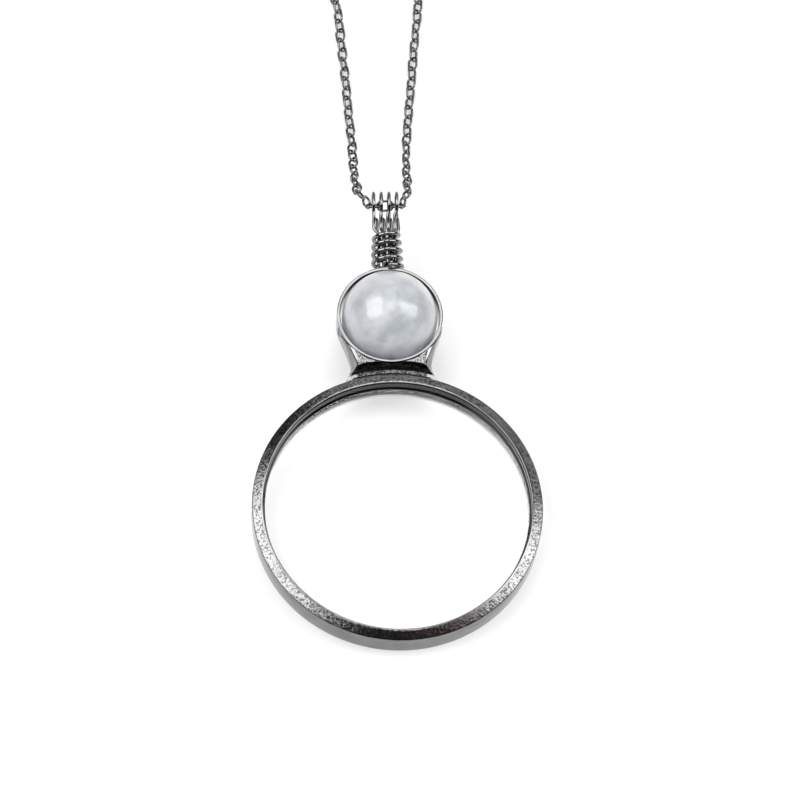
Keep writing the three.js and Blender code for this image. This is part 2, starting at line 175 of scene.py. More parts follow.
def rounded(corners, cuts, steps=4):
    """A closed outline with each corner replaced by a parabola between two points cut off its sides."""
    corners = np.asarray(corners, float)
    cuts = np.broadcast_to(np.asarray(cuts, float), len(corners))[:, None, None]
    start = corners[:, None] + cuts * unit(np.roll(corners, 1, axis=0) - corners)[:, None]
    end = corners[:, None] + cuts * unit(np.roll(corners, -1, axis=0) - corners)[:, None]
    s = np.linspace(0, 1, steps + 1)[None, :, None]
    curve = (1 - s) ** 2 * start + 2 * s * (1 - s) * corners[:, None] + s ** 2 * end
    return curve.reshape(-1, 2)


def turned(profile, around, first=0.0, last=2 * np.pi):
    """A grid of points: each row is the profile [radius, height] turned about z to one angle."""
    whole = np.isclose(last - first, 2 * np.pi)
    angle = np.linspace(first, last, around, endpoint=not whole)[:, None]
    radius, height = np.asarray(profile, float).T
    level = np.broadcast_to(height, (around, len(height)))
    return np.stack([radius * np.cos(angle), radius * np.sin(angle), level], axis=-1)


WIRE_SIDES = 20
END_ROUNDING = 0.9


def swept(path, radius, reference):
    """A round wire along a path, its ends rounded over one radius of length to a third of its width.

    reference is a direction that the path never runs along. Each section's first axis is the part of it
    that is square to the path; the second is square to both."""
    path = np.asarray(path, float)
    along = unit(np.gradient(path, axis=0))
    first = unit(reference - np.sum(along * reference, axis=1, keepdims=True) * along)
    second = np.cross(along, first)
    roll = np.arange(WIRE_SIDES) * 2 * np.pi / WIRE_SIDES
    section = first[:, None] * np.cos(roll)[None, :, None] + second[:, None] * np.sin(roll)[None, :, None]
    run = np.concatenate([[0], np.cumsum(np.linalg.norm(np.diff(path, axis=0), axis=1))])
    from_end = np.minimum(np.minimum(run, run[-1] - run) / radius, 1)
    size = radius * np.sqrt(1 - END_ROUNDING * (1 - from_end) ** 2)
    return path[:, None] + section * size[:, None, None]


def ring_surface(points):
    """Points and faces of a grid that runs round in both directions."""
    rows, columns, _ = points.shape
    flat = points.reshape(-1, 3)
    return flat, facing_out(flat, grid_faces(rows, columns, wrap_rows=True).tolist())


# %% [markdown]
# ## The pendant's own frame
#
# The pendant rests on the back of its ball and the rear edge of its ring, so it leans a few degrees.
# Its pieces are far easier to describe flat, with the lens axis upright, and are laid down by one
# rotation. The lean is that of the tangent from the ring's rear edge to the ball.

# %% Pendant frame
BEZEL_RADIUS = 25.0
HEEL = BEZEL_RADIUS - 0.3
BALL_RADIUS = 8.15
BALL_Y = 37.0
BALL_Z = 2.5
BAIL_Y = 59.3
span = np.hypot(HEEL + BALL_Y, BALL_Z)
lean = np.arcsin(BALL_RADIUS / span) - np.arctan2(BALL_Z, HEEL + BALL_Y)
LEAN = np.array([[1, 0, 0], [0, np.cos(lean), -np.sin(lean)], [0, np.sin(lean), np.cos(lean)]])
ball_low, ball_high = (np.array(corner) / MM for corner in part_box("stone_ball"))
ball_middle = np.array([0, (ball_low[1] + ball_high[1]) / 2, ball_high[2] - BALL_RADIUS])
PENDANT_AT = ball_middle - LEAN @ [0, BALL_Y, BALL_Z]


def laid(points):
    """Points of the pendant's own frame, in millimetres, as they lie on the table, in metres."""
    return (np.asarray(points) @ LEAN.T + PENDANT_AT) * MM


bail_axis = laid([0, BAIL_Y, BALL_Z]) / MM
print("lean", round(np.degrees(lean), 3), "deg; bail axis at", np.round(bail_axis, 3))

# %% [markdown]
# ## Finishes
#
# The cast parts, the drawn wire, the chain and the clasp are all black-nickel plated, which reflects
# about a quarter of the light and a little less in the blue. What tells them apart is the surface: the
# ring's front is finely pebbled with blackened hollows, castings are faintly wavy, wire is smooth with
# draw marks. A painted roughness picture could carry that, but noise in the object's own coordinates
# needs no unwrapping and keeps its scale in millimetres on every piece.

# %% Shader helpers
def set_inputs(node, **values):
    """Sets a node's inputs by name, with _ for a space."""
    for key, value in values.items():
        node.inputs[key.replace("_", " ")].default_value = value


def add_node(tree, kind, **values):
    """A shader node with its inputs set by name; keys that start with _ set its properties."""
    node = tree.nodes.new(kind)
    for key in [key for key in values if key.startswith("_")]:
        setattr(node, key[1:], values.pop(key))
    set_inputs(node, **values)
    return node


def fresh_material(name):
    """A material with one Principled shader wired to its output, and object coordinates."""
    material = bpy.data.materials.new(name)
    material.use_nodes = True
    tree = material.node_tree
    shader = tree.nodes["Principled BSDF"]
    coordinates = tree.nodes.new("ShaderNodeTexCoord")
    return material, tree, shader, coordinates.outputs["Object"]


def noise(tree, place, size_mm, detail=2.0, roughness=0.5):
    """Noise with features about size_mm across, sampled at place."""
    scale = 1.0 / (size_mm * MM)
    node = add_node(tree, "ShaderNodeTexNoise", Scale=scale, Detail=detail, Roughness=roughness)
    tree.links.new(place, node.inputs["Vector"])
    return node.outputs["Fac"]


def mapped(tree, value, low, high, start=0.3, end=0.7):
    """A value in start..end stretched to low..high."""
    node = add_node(tree, "ShaderNodeMapRange", From_Min=start, From_Max=end, To_Min=low, To_Max=high)
    tree.links.new(value, node.inputs["Value"])
    return node.outputs["Result"]


def mixed_colour(tree, factor, first, second):
    """A colour that runs from first to second as factor runs from 0 to 1.

    Each of the two is either three numbers or another node's output."""
    node = add_node(tree, "ShaderNodeMix", _data_type="RGBA")
    for slot, colour in (("A", first), ("B", second)):
        if isinstance(colour, tuple):
            node.inputs[slot].default_value = (*colour, 1)
        else:
            tree.links.new(colour, node.inputs[slot])
    tree.links.new(factor, node.inputs["Factor"])
    return node.outputs["Result"]


def attribute(tree, name):
    """What a mesh's attribute of this name says at each point."""
    return add_node(tree, "ShaderNodeAttribute", _attribute_name=name).outputs["Fac"]


def combined(tree, operation, *values):
    """Values multiplied (MULTIPLY), or the first two multiplied and the third added (MULTIPLY_ADD)."""
    node = add_node(tree, "ShaderNodeMath", _operation=operation, _use_clamp=True)
    for value, slot in zip(values, node.inputs):
        tree.links.new(value, slot)
    return node.outputs["Value"]


def add_bump(tree, shader, height, depth_mm):
    """Bump on a shader from a height, its depth in millimetres."""
    node = add_node(tree, "ShaderNodeBump", Strength=1.0, Distance=depth_mm * MM)
    tree.links.new(height, node.inputs["Height"])
    tree.links.new(node.outputs["Normal"], shader.inputs["Normal"])


# %% Metals
def plated_metal(name, tone, roughness, grain_mm, grain_depth_mm):
    """Dark plated metal: tone is its reflectance, with grain bumps and slow changes of tone and gloss."""
    material, tree, shader, place = fresh_material(name)
    shader.inputs["Metallic"].default_value = 1.0
    slow = noise(tree, place, 3.0, 3.0)
    fine = noise(tree, place, grain_mm, 4.0, 0.6)
    darker = tuple(0.8 * part for part in tone)
    plated = mixed_colour(tree, mapped(tree, slow, 0.0, 1.0), darker, tone)
    tree.links.new(plated, shader.inputs["Base Color"])
    tree.links.new(mapped(tree, fine, roughness * 0.75, roughness * 1.35), shader.inputs["Roughness"])
    add_bump(tree, shader, fine, grain_depth_mm)
    return material


# The dark tone of real oxide in pebble hollows, also used for painted shade.
OXIDE_AND_SHADE_TONE = (0.03, 0.03, 0.03)
HOLLOW_TOP, HOLLOW_FLOOR = 0.51, 0.42
HOLLOW_OXIDE = 0.8


def pebbled_metal(name, tone, roughness, pebble_mm, pebble_depth_mm):
    """Cast dark metal, pebbled where the pebble attribute says so, and darkened by painted shade where the
    other attribute says so.

    The dark tone is that painted shade, plus real oxide in the hollows wherever there are pebbles."""
    material, tree, shader, place = fresh_material(name)
    shader.inputs["Metallic"].default_value = 1.0
    mask = attribute(tree, "pebble")
    pebbles = noise(tree, place, pebble_mm, 3.0, 0.65)
    waves = noise(tree, place, 2.5, 2.0)
    darker = tuple(0.75 * part for part in tone)
    plated = mixed_colour(tree, mapped(tree, waves, 0.0, 1.0), darker, tone)
    hollows = mapped(tree, pebbles, 0.0, HOLLOW_OXIDE, HOLLOW_TOP, HOLLOW_FLOOR)
    # Painted shade where the mesh's attribute says so, added to the oxide in the pebbles' hollows.
    oxide_and_painted_shade = combined(tree, "MULTIPLY_ADD", hollows, mask, attribute(tree, "oxide"))
    tree.links.new(mixed_colour(tree, oxide_and_painted_shade, plated, OXIDE_AND_SHADE_TONE), shader.inputs["Base Color"])
    tree.links.new(mapped(tree, waves, roughness * 0.8, roughness * 1.3), shader.inputs["Roughness"])
    add_bump(tree, shader, combined(tree, "MULTIPLY", pebbles, mask), pebble_depth_mm)
    return material


cast_metal = pebbled_metal("cast_gunmetal", (0.27, 0.27, 0.275), 0.11, 0.42, 0.06)
wire_metal = plated_metal("drawn_wire", (0.26, 0.26, 0.265), 0.12, 0.25, 0.003)
chain_metal = plated_metal("chain_plating", (0.20, 0.20, 0.205), 0.10, 0.3, 0.003)
clasp_metal = plated_metal("tumbled_clasp", (0.20, 0.20, 0.205), 0.16, 0.4, 0.006)
spring_metal = plated_metal("spring_steel", (0.55, 0.55, 0.54), 0.2, 0.2, 0.002)
print("metals:", [m.name for m in bpy.data.materials])

# %% [markdown]
# ## The chain
#
# A cable chain is one oval link repeated, each turned a quarter turn from the last. Laid on a table
# the links settle at about 45 degrees to it, leaning left and right in turn. A curve with an array
# modifier would bend the links; placing rigid links at equal steps of arc length keeps each one true.
# The route is the one that the model's plain tubes follow: down from the bail, along the table, into a
# coil of both strands wound together, and out to the clasp and the end ring. Each strand's last link
# reaches into its ring, as a jump ring is closed through it.

# %% The route
CHAIN_WIDTH = 2.2
LINK_WIRE = 0.48
LINK_PITCH = 2.15
LINK_PLAY = 0.12
LINK_CLEARANCE = 0.1
LINK_LEAN = 45.0
LINK_WOBBLE = 9
LANE = 2.3
COIL_AT = np.array([0.0, 118.5])
COIL_TURNS = 4
CLIMB_TURNS = 0.3
TURN_POINTS = 24
LOW_LAYER, HIGH_LAYER = 1.15, 3.38
OUTER_LANE = 17.5

left_points = [
    [-4.0, 43.8, 8.38], [-4.5, 45.6, 7.45], [-4.8, 47.5, 6.5], [-4.9, 50.2, 5.2], [-4.9, 53.2, 3.9],
    [-4.9, 56.6, 2.7], [-4.9, 60.4, 1.75], [-5.1, 64.5, 1.3], [-5.3, 69.0, 1.2], [-5.5, 74.0, 1.2],
    [-5.8, 79.0, 1.2], [-6.1, 84.0, 1.2], [-6.3, 88.5, 1.2], [-6.8, 92.4, 1.2], [-8.3, 95.9, 1.2],
    [-11.0, 98.9, 1.2], [-13.9, 102.0, 1.2], [-16.1, 105.4, 1.2], [-17.1, 107.9, 1.2],
]
right_points = [
    [4.0, 43.8, 8.38], [4.3, 45.6, 7.45], [4.5, 47.5, 6.5], [4.5, 50.2, 5.2], [4.6, 53.2, 3.9],
    [4.8, 56.6, 2.7], [5.1, 60.4, 1.75], [5.5, 64.5, 1.3], [6.0, 69.0, 1.2], [6.6, 74.0, 1.2],
    [7.1, 79.0, 1.2], [7.7, 84.0, 1.2], [8.3, 88.8, 1.2], [8.6, 92.6, 1.2], [7.9, 95.4, 1.2],
    [5.6, 97.2, 1.2], [2.2, 97.9, 1.2], [-1.6, 98.1, 1.2], [-5.4, 98.9, 1.2], [-9.0, 100.5, 1.2],
]
clasp_tail = [
    [-18.6, 121.4, 3.3], [-19.8, 124.4, 2.9], [-20.3, 128.0, 2.2], [-19.3, 132.4, 1.5], [-17.1, 136.6, 1.2],
    [-14.3, 140.5, 1.2], [-10.7, 143.5, 1.2],
]
ring_tail = [
    [-16.5, 123.4, 3.35], [-17.4, 128.4, 2.9], [-16.2, 131.4, 2.0], [-13.9, 134.2, 1.4], [-10.9, 136.4, 1.2],
    [-8.9, 137.3, 1.2],
]


def on_coil(radius, angle, height):
    """Points at these radii, angles and heights about the middle of the coil."""
    x = COIL_AT[0] + radius * np.cos(angle)
    y = COIL_AT[1] + radius * np.sin(angle)
    return np.stack([x, y, height], axis=1)


def coil_lane(radius_outside, arrival):
    """Points of one strand's turns, clockwise from the coil's left side.

    The strand spirals inwards on the table by two lanes a turn for the first half of its turns, steps up
    by one chain width, and spirals back out on top. arrival is the last point before the coil: the first
    turn starts by easing in from there."""
    turns = np.linspace(0, COIL_TURNS, COIL_TURNS * TURN_POINTS + 1)
    half = COIL_TURNS / 2
    radius = radius_outside - 2 * LANE * (half - np.abs(turns - half))
    rise = np.clip((turns - half) / CLIMB_TURNS + 0.5, 0, 1)
    height = LOW_LAYER + (HIGH_LAYER - LOW_LAYER) * rise * rise * (3 - 2 * rise)
    angle = np.pi - 2 * np.pi * turns
    circle = on_coil(radius, angle, height)
    reach = np.array(arrival[:2]) - COIL_AT
    start_radius = np.hypot(*reach)
    start_angle = np.arctan2(reach[1], reach[0]) % (2 * np.pi)
    steps = max(2, round((start_angle - np.pi) / (2 * np.pi) * TURN_POINTS))
    share = np.linspace(0, 1, steps + 1)[1:-1]
    lead_angle = start_angle + (np.pi - start_angle) * share
    lead_radius = start_radius + (radius_outside - start_radius) * share
    return np.vstack([on_coil(lead_radius, lead_angle, np.full(len(share), LOW_LAYER)), circle])


def smooth_path(points, per_span=16):
    """A centripetal Catmull-Rom curve through the points, per_span steps from each to the next.

    Each span is a Hermite cubic. Its end tangents weigh the chords on both sides by the square roots of
    their lengths, so uneven spacing makes no loops or overshoot."""
    points = np.asarray(points, float)
    ends = np.vstack([2 * points[0] - points[1], points, 2 * points[-1] - points[-2]])
    chord = np.diff(ends, axis=0)
    knot = np.sqrt(np.linalg.norm(chord, axis=1))[:, None]
    slope = chord / knot
    tangent = slope[:-1] + slope[1:] - (chord[:-1] + chord[1:]) / (knot[:-1] + knot[1:])
    leaving, arriving = tangent[:-1] * knot[1:-1], tangent[1:] * knot[1:-1]
    t = np.linspace(0, 1, per_span, endpoint=False)[:, None, None]
    curve = ((2 * t ** 3 - 3 * t ** 2 + 1) * points[:-1] + (t ** 3 - 2 * t ** 2 + t) * leaving
             + (3 * t ** 2 - 2 * t ** 3) * points[1:] + (t ** 3 - t ** 2) * arriving)
    return np.vstack([curve.transpose(1, 0, 2).reshape(-1, 3), points[-1:]])


def at_lengths(path, lengths):
    """The points of a path at these distances along it, and the whole path's length."""
    along = np.concatenate([[0], np.cumsum(np.linalg.norm(np.diff(path, axis=0), axis=1))])
    points = np.stack([np.interp(lengths, along, path[:, axis]) for axis in range(3)], axis=1)
    return points, along[-1]


def ring_circle(node, radius, tilt_degrees, angle):
    """Points at these angles on a circle about the middle of a ring's node, tilted about x."""
    low, high = (np.array(corner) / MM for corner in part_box(node))
    tilt = np.radians(tilt_degrees)
    across = radius * np.sin(angle)
    circle = np.stack([radius * np.cos(angle), across * np.cos(tilt), across * np.sin(tilt)], axis=1)
    return circle + (low + high) / 2


def hook_point(node, radius, wire, tilt_degrees, tail):
    """The spot on a ring's inside nearest the end of a strand's tail, at least a link's height up."""
    inside = ring_circle(node, radius - wire / 2, tilt_degrees, np.linspace(0, 2 * np.pi, 181))
    nearest = inside[np.argmin(np.linalg.norm(inside - tail[-1], axis=1))]
    return np.maximum(nearest, [-np.inf, -np.inf, CHAIN_WIDTH / 2 + LINK_CLEARANCE])


# Each ring's radius, the width of its wire, and its tilt in degrees.
JUMP_RING = (1.75, 0.6, 55)
PLAIN_RING = (2.1, 0.8, 0)
clasp_hook = hook_point("clasp_jump_ring", *JUMP_RING, clasp_tail)
plain_hook = hook_point("end_ring", *PLAIN_RING, ring_tail)
left_turns = coil_lane(OUTER_LANE, left_points[-1])
right_turns = coil_lane(OUTER_LANE - LANE, right_points[-1])
routes = {
    "left": smooth_path(np.vstack([left_points, left_turns, clasp_tail, clasp_hook])),
    "right": smooth_path(np.vstack([right_points, right_turns, ring_tail, plain_hook])),
}
print("the strands hook on at", clasp_hook.round(2), "and", plain_hook.round(2))
for side, route in routes.items():
    print(side, "strand is", round(at_lengths(route, [0])[1], 1), "mm long")

# %% Links along a route
def link_points(straight, bend, wire, around, sides):
    """An oval link: a circle of wire-radius carried round a stadium of two half circles and two runs.

    Its long way is x, its flat way y. Each half circle is shifted out by half the straight length."""
    turn = (np.arange(around) + 0.5) * 2 * np.pi / around
    roll = np.arange(sides) * 2 * np.pi / sides
    outward = bend + wire / 2 * np.cos(roll)[None, :]
    x = np.cos(turn)[:, None] * outward + np.sign(np.cos(turn))[:, None] * straight / 2
    y = np.sin(turn)[:, None] * outward
    z = np.broadcast_to(wire / 2 * np.sin(roll), x.shape)
    return np.stack([x, y, z], axis=-1)


LINK_BEND = (CHAIN_WIDTH - LINK_WIRE) / 2
LINK_STRAIGHT = LINK_PITCH + 2 * LINK_WIRE + LINK_PLAY - CHAIN_WIDTH


def placed_links(middles, along, across, around=14, sides=6):
    """Points and faces of one link at each middle, its long way along and its flat way across."""
    shape = link_points(LINK_STRAIGHT, LINK_BEND, LINK_WIRE, around, sides).reshape(-1, 3)
    along = unit(along)
    normal = unit(np.cross(along, across))
    flat = np.cross(normal, along)
    frames = np.stack([along, flat, normal], axis=1)
    points = middles[:, None, :] + np.einsum("pk,nkj->npj", shape, frames)
    base = np.array(facing_out(shape, grid_faces(around, sides, wrap_rows=True).tolist()))
    faces = base[None] + (np.arange(len(middles)) * len(shape))[:, None, None]
    return points.reshape(-1, 3), faces.reshape(-1, 4)


def chain_along(name, route, lean_first):
    """Links at equal steps of arc length, each lying along the chord between its two joints.

    They lean to one side and the other in turn, each a few degrees off; lean_first is 1 or -1."""
    _, length = at_lengths(route, [0])
    count = int(length / LINK_PITCH)
    joints, _ = at_lengths(route, np.linspace(0, length, count + 1))
    along = np.diff(joints, axis=0)
    middles = (joints[1:] + joints[:-1]) / 2
    side = unit(np.cross([0, 0, 1], along))
    wobble = np.radians(np.random.default_rng(7).uniform(-LINK_WOBBLE, LINK_WOBBLE, count))
    leaning = np.where(np.arange(count) % 2 == 0, lean_first, -lean_first)
    lean_angle = np.radians(LINK_LEAN) * leaning + wobble
    upward = unit(np.cross(along, side))
    across = side * np.cos(lean_angle)[:, None] + upward * np.sin(lean_angle)[:, None]
    points, faces = placed_links(middles, along, across)
    return new_piece(name, points * MM, faces, "chain", chain_metal)


strand_left = chain_along("strand_left", routes["left"], 1)
strand_right = chain_along("strand_right", routes["right"], -1)
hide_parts("chain_left", "chain_tail_clasp", "chain_coil")
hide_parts("chain_right", "chain_tail_ring")

# %% [markdown]
# ## The lens ring
#
# The ring is one casting: a flat back, a tall outer wall, a front face that falls a little towards the
# outside, a narrow bright bevel round the opening, and inside it the lip that the glass rests against.
# A ring like this is turned as one closed profile. The corners are rounded by hand-polishing, and the
# rounding matters, because a sharp edge on a mirror-bright ring would show no highlight at all.

# %% Lens ring
BEZEL_DEPTH = 5.3
SEAT_RADIUS = 23.3
GROOVE_RADIUS = 23.75
GROOVE_REAR, GROOVE_FRONT = 0.45, 1.3
LIP_RADIUS = 22.75
LIP_REAR, LIP_FRONT = 3.05, 3.35
CREST_RADIUS = 23.2
BEVEL = 0.2
FRONT_SLOPE = 0.7
WALL_PAINTED_SHADE = 0.25
RING_FORWARD = 0.04
OUTLINE_STEPS = 4
ring_corners = [
    [SEAT_RADIUS, 0], [BEZEL_RADIUS, 0], [BEZEL_RADIUS, BEZEL_DEPTH - FRONT_SLOPE],
    [CREST_RADIUS, BEZEL_DEPTH], [CREST_RADIUS - BEVEL, BEZEL_DEPTH - BEVEL],
    [CREST_RADIUS - BEVEL, LIP_FRONT + 0.1],
    [LIP_RADIUS, LIP_FRONT], [LIP_RADIUS, LIP_REAR], [SEAT_RADIUS, LIP_REAR], [SEAT_RADIUS, GROOVE_FRONT],
    [GROOVE_RADIUS, GROOVE_FRONT], [GROOVE_RADIUS, GROOVE_REAR], [SEAT_RADIUS, GROOVE_REAR],
]
ring_cuts = [0.04, 0.28, 0.16, 0.1, 0.08, 0.08] + [0.04] * 7


def ring_piece(name, profile, middle, around, pebble, oxide):
    """A closed ring: a closed profile [radius, height] turned about an axis through middle."""
    points, faces = ring_surface(laid(turned(profile, around) + middle))
    return new_piece(name, points, faces, "pendant", cast_metal, pebble=np.tile(pebble, around),
                     oxide=np.tile(oxide, around))


# The front face gets six more steps across, so that its pebbles fade out close to its edges.
ring_profile = rounded(ring_corners, ring_cuts, OUTLINE_STEPS)
across_face = np.linspace(BEZEL_RADIUS - 0.15, CREST_RADIUS + 0.1, 8)[1:-1]
face_height = BEZEL_DEPTH - FRONT_SLOPE * (across_face - CREST_RADIUS) / (BEZEL_RADIUS - CREST_RADIUS)
after_edge = 3 * (OUTLINE_STEPS + 1)
ring_profile = np.vstack([ring_profile[:after_edge], np.stack([across_face, face_height], axis=1),
                          ring_profile[after_edge:]])
profile_radius, profile_height = ring_profile.T
on_face = (profile_height > BEZEL_DEPTH - FRONT_SLOPE - 0.03) & (profile_radius > CREST_RADIUS + 0.12)
# Painted shade: the lip's inside wall is painted black and the outer wall a quarter darker, standing for
# shade and dark reflections there.
in_lip = (profile_height > LIP_REAR) & (profile_radius < CREST_RADIUS - 0.15)
on_wall = profile_radius > BEZEL_RADIUS - 0.05
ring_oxide = in_lip + WALL_PAINTED_SHADE * on_wall
lens_ring = ring_piece("lens_ring", ring_profile, [0, 0, RING_FORWARD], 360, on_face, ring_oxide)
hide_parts("lens_bezel")

# %% [markdown]
# ## The glass and its snap ring
#
# The magnifier is a thin biconvex lens. Both faces are arcs of one large radius, so a formula gives a
# true optical surface, where a coarse turned solid would bend its reflections. The glass lets light
# straight through to the table, because light bent on its way there would need far more samples to
# come out clean, and it is mostly see-through, which keeps its own reflections faint. Behind it a
# split ring of square spring wire sits in a groove and keeps it against the lip.

# %% Glass
LENS_RADIUS = 23.2
LENS_CURVE = 150.0
LENS_EDGE = 1.55
lens_front = LIP_REAR - 0.16


def lens_rise(radius):
    """How far a lens face stands above its own edge at this radius."""
    return np.sqrt(LENS_CURVE ** 2 - radius ** 2) - np.sqrt(LENS_CURVE ** 2 - LENS_RADIUS ** 2)


steps_out = LENS_RADIUS * np.linspace(0.04, 0.994, 24)
front_face = np.stack([steps_out, lens_front + lens_rise(steps_out)], axis=1)
rear_face = np.stack([steps_out, lens_front - LENS_EDGE - lens_rise(steps_out)], axis=1)[::-1]
edge = [[LENS_RADIUS, lens_front - 0.1], [LENS_RADIUS, lens_front - LENS_EDGE + 0.1]]
lens_profile = np.vstack([front_face, edge, rear_face])
lens_points, lens_faces = closed_tube(laid(turned(lens_profile, 180).transpose(1, 0, 2)))

glass, glass_tree, glass_shader, _ = fresh_material("clear_glass")
set_inputs(glass_shader, Base_Color=(1, 1, 1, 1), Roughness=0.0, IOR=1.52, Transmission_Weight=1.0)
set_inputs(glass_shader, Alpha=0.15)
clear = glass_tree.nodes.new("ShaderNodeBsdfTransparent")
through = glass_tree.nodes.new("ShaderNodeMixShader")
rays = glass_tree.nodes.new("ShaderNodeLightPath")
glass_tree.links.new(rays.outputs["Is Shadow Ray"], through.inputs["Fac"])
glass_tree.links.new(glass_shader.outputs["BSDF"], through.inputs[1])
glass_tree.links.new(clear.outputs["BSDF"], through.inputs[2])
glass_tree.links.new(through.outputs["Shader"], glass_tree.nodes["Material Output"].inputs["Surface"])
glass_lens = new_piece("glass_lens", lens_points, lens_faces, "pendant", glass)
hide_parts("magnifier_lens")

# %% Snap ring
SNAP_GAP = 0.09
snap_profile = rounded([[22.75, 0.52], [23.65, 0.52], [23.65, 1.22], [22.75, 1.22]], 0.12)
snap_grid = turned(snap_profile, 240, -np.pi / 2 + SNAP_GAP, 3 * np.pi / 2 - SNAP_GAP)
snap_points, snap_faces = closed_tube(laid(snap_grid))
snap_ring = new_piece("snap_ring", snap_points, snap_faces, "pendant", spring_metal)
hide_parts("lens_snap_ring")

# %% [markdown]
# ## The ball and its band
#
# The ball is a milky, slightly translucent stone such as white quartz or opalite, drilled at top and
# bottom for two short pegs that are soldered inside the band. Light enters it and comes back softened,
# which subsurface scattering gives, and its cloudiness is noise. It is a little wider than it is
# deep, so that it nearly fills the band. The band is a strip of metal bent into a hoop, its edges just
# broken, and its inside is painted black as shade between band and ball.

# %% Stone ball
PEG_RADIUS = 0.35
PEG_DEPTH = 2.2
HOLE_RADIUS = PEG_RADIUS + 0.05
BALL_SPREAD = 1.032
BALL_FLATTEN = 0.995
hole_angle = np.arcsin(HOLE_RADIUS / BALL_RADIUS)
tilt = np.linspace(hole_angle, np.pi - hole_angle, 90)
shell = np.stack([BALL_RADIUS * np.sin(tilt), BALL_RADIUS * np.cos(tilt)], axis=1)
hole = np.array([[HOLE_RADIUS, BALL_RADIUS - PEG_DEPTH], [HOLE_RADIUS, BALL_RADIUS - 0.1]])
ball_profile = np.vstack([hole, shell, hole[::-1] * [1, -1]])


def about_y(points):
    """Points made about z, turned so that z runs along y."""
    return np.asarray(points)[..., [0, 2, 1]]


ball_grid = about_y(turned(ball_profile, 144).transpose(1, 0, 2)) * [BALL_SPREAD, BALL_SPREAD, BALL_FLATTEN]
ball_points, ball_faces = closed_tube(laid(ball_grid + [0, BALL_Y, BALL_Z]))

stone, stone_tree, stone_shader, stone_place = fresh_material("milky_stone")
clouds = noise(stone_tree, stone_place, 5.0, 3.0, 0.55)
stone_colour = mixed_colour(stone_tree, mapped(stone_tree, clouds, 0.0, 1.0, 0.35, 0.62),
                            (0.30, 0.32, 0.34), (0.44, 0.45, 0.47))
stone_tree.links.new(stone_colour, stone_shader.inputs["Base Color"])
set_inputs(stone_shader, Roughness=0.2, IOR=1.54, Specular_IOR_Level=0.3)
set_inputs(stone_shader, Coat_Weight=0.6, Coat_Roughness=0.05, Sheen_Weight=0.6, Sheen_Roughness=0.4)
set_inputs(stone_shader, Subsurface_Weight=1.0, Subsurface_Scale=25.0 * MM)
set_inputs(stone_shader, Subsurface_Radius=(1.0, 1.0, 1.05))
ball = new_piece("ball", ball_points, ball_faces, "pendant", stone)
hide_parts("stone_ball")

# %% Band and pegs
BAND_INNER, BAND_OUTER = 8.72, 9.3
BAND_REAR, BAND_FRONT = -0.5, 4.0
band_profile = rounded([[BAND_INNER, BAND_REAR], [BAND_OUTER, BAND_REAR], [BAND_OUTER, BAND_FRONT],
                        [BAND_INNER, BAND_FRONT]], 0.16)
# Painted shade: the band's inside, between band and ball, is painted black.
painted_band_shade = band_profile[:, 0] < BAND_INNER + 0.05
no_pebbles = np.zeros(len(band_profile))
band = ring_piece("band", band_profile, [0, BALL_Y, 0], 240, no_pebbles, painted_band_shade)
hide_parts("ball_band")

peg_reach = np.linspace(BALL_RADIUS - PEG_DEPTH + 0.05, BAND_INNER - 0.08, 16)
for place, sign in (("top", 1), ("bottom", -1)):
    peg_line = np.array([[0, BALL_Y + sign * reach, BALL_Z] for reach in peg_reach])
    peg_points, peg_faces = closed_tube(laid(swept(peg_line, PEG_RADIUS, np.array([1.0, 0, 0]))))
    peg = new_piece(f"peg_{place}", peg_points, peg_faces, "pendant", wire_metal)
    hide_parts(f"ball_peg_{place}")

# %% [markdown]
# ## Cast pieces
#
# The neck, the flared foot of the post, and the clasp's body and lever are castings with rounded edges
# everywhere. Their solids are cut shapes with sharp edges, so each is remeshed into small even cells
# and relaxed, which is close to what tumbling does to a casting: flats stay flat, edges go soft. A
# bevel on every edge would also catch the facets of the curves. The neck is then filed to fit the ring:
# its feet run out thin, its waist is drawn in, and its hollow front slopes down to the ring.

# %% Soften the castings
def off_table(points):
    """Points on the table, in metres, back in the pendant's own frame, in millimetres."""
    return (np.asarray(points) / MM - PENDANT_AT) @ LEAN


WAIST_Y = 27.0
WAIST_DRAW = 0.6
VALLEY_HALF = 7.0
VALLEY_RADIUS = 26.2
VALLEY_Z = 2.6
VALLEY_FALL = 0.7
VALLEY_PAINTED_SHADE = 0.5
BLACK_WITHIN = 27.8
FRONT_Z = 2.2
FOOT_CUT = 0.85


def valley_skin(flat):
    """1 on the neck's front between its sides, fading to 0 over their rounded edges."""
    inward = np.clip((6.3 - np.abs(flat[:, 0])) / 0.4, 0, 1)
    return inward * np.clip((flat[:, 2] - FRONT_Z) / 0.3, 0, 1)


def filed(flat):
    """The neck's points moved a little to fit the ring.

    The feet's height above the ring is cut by up to FOOT_CUT of it towards their tips. The front of
    each side is drawn in near the waist. The hollow between them falls towards the ring."""
    x, y, z = flat.T
    radius = np.hypot(x, y)
    near_tip = np.clip((np.abs(x) - 7.3) / 1.9, 0, 1) * (y < WAIST_Y)
    above = np.maximum(radius - BEZEL_RADIUS - 0.05, 0)
    moved = flat.copy()
    moved[:, :2] *= ((radius - above * FOOT_CUT * near_tip) / radius)[:, None]
    front = np.clip((z - FRONT_Z) / 1.0, 0, 1)
    by_waist = np.clip(1 - np.abs(y - WAIST_Y) / 4.0, 0, 1)
    side = np.clip((np.abs(x) - 5.0) / 1.5, 0, 1)
    moved[:, 0] -= np.sign(x) * WAIST_DRAW * front * by_waist * side
    floor = VALLEY_Z - VALLEY_FALL * (VALLEY_RADIUS - radius)
    between = (np.abs(x) < VALLEY_HALF) & (radius < VALLEY_RADIUS) & (y > 20)
    moved[:, 2] = np.where(between, np.minimum(z, floor), z)
    return moved


